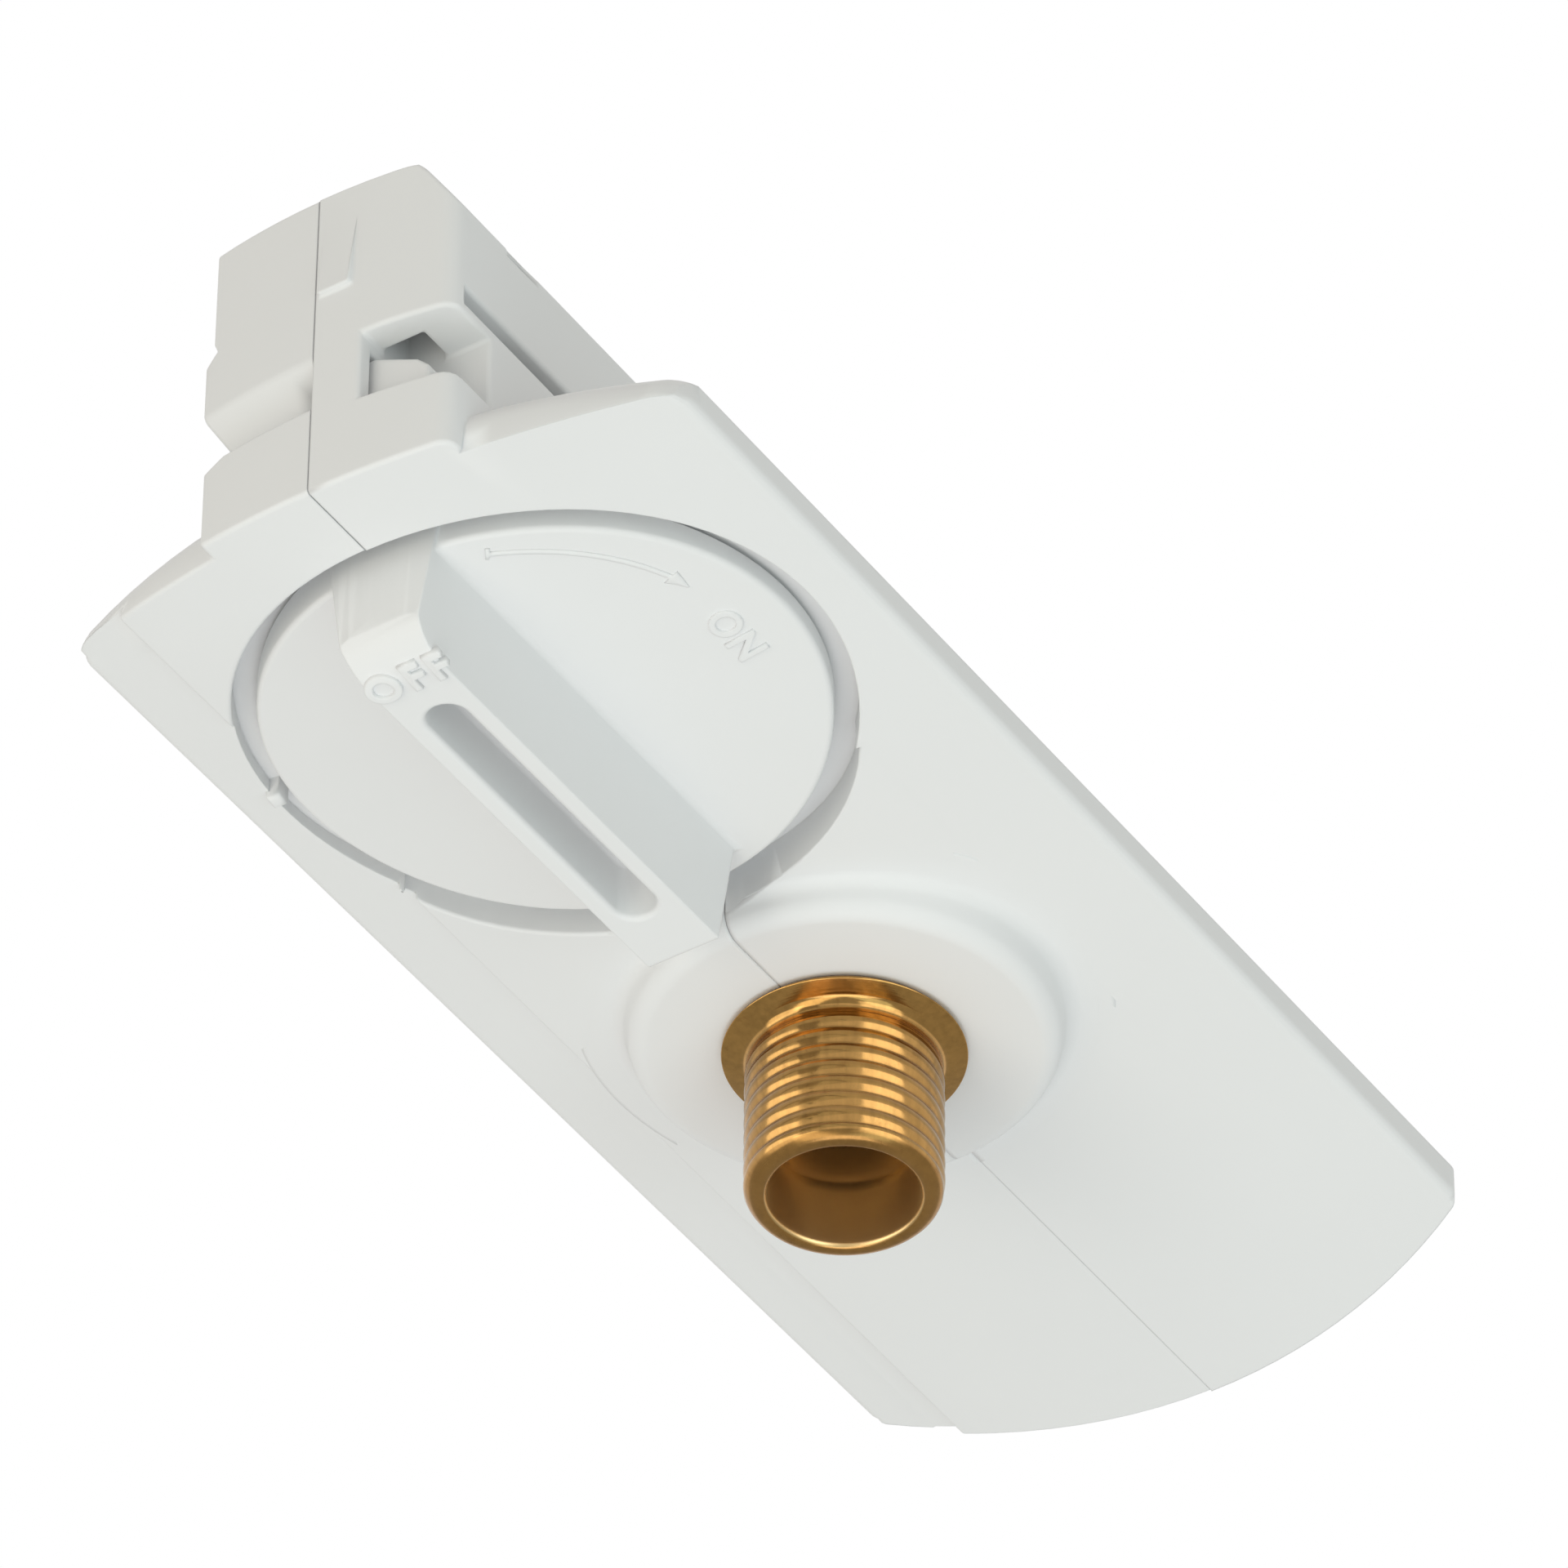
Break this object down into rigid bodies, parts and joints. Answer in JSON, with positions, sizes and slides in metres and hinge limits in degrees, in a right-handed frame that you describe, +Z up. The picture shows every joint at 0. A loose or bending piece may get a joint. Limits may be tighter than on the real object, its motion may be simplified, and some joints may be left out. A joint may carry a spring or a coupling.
{
  "type": "track light adapter",
  "caption": "White plastic adapter that clips into a one-circuit lighting track, with a quarter-turn locking knob and a brass threaded nipple for a pendant lamp",
  "frame": {"origin": "on the knob's axis, in the plane of the cover's rim that lies against the track", "axes": "+X runs along the track from the knob to the nipple, +Z runs up into the track, and the shells part on the plane y = 0"},
  "size_m": [0.0814, 0.035, 0.0299],
  "materials": {
    "housing": "white moulded plastic with a fine satin grain",
    "knob": "white moulded plastic, satin",
    "insulator": "pale moulded insulator",
    "brass": "turned brass",
    "contact": "rolled copper alloy",
    "steel": "zinc-plated steel"
  },
  "bodies": {
    "housing": {"front_shell": "housing", "rear_shell": "housing", "cord_nipple": "brass", "lock_washer": "steel", "earth_lug": "brass", "nipple_nut": "brass", "live_terminal": "brass", "neutral_terminal": "brass", "earth_terminal": "brass", "terminal_screws": "steel", "live_strip": "contact", "neutral_strip": "contact", "earth_contact": "contact", "detent_spring": "steel"},
    "switch": {"knob": "knob", "rotor": "insulator", "live_blade": "contact", "neutral_blade": "contact", "lock_plate": "steel", "knob_clip": "steel"}
  },
  "joints": [
    {"name": "switch_turn", "type": "hinge", "parent": "housing", "child": "switch", "pos_m": [0, 0, 0], "axis": [0, 0, 1], "range_deg": [0, 90]}
  ]
}
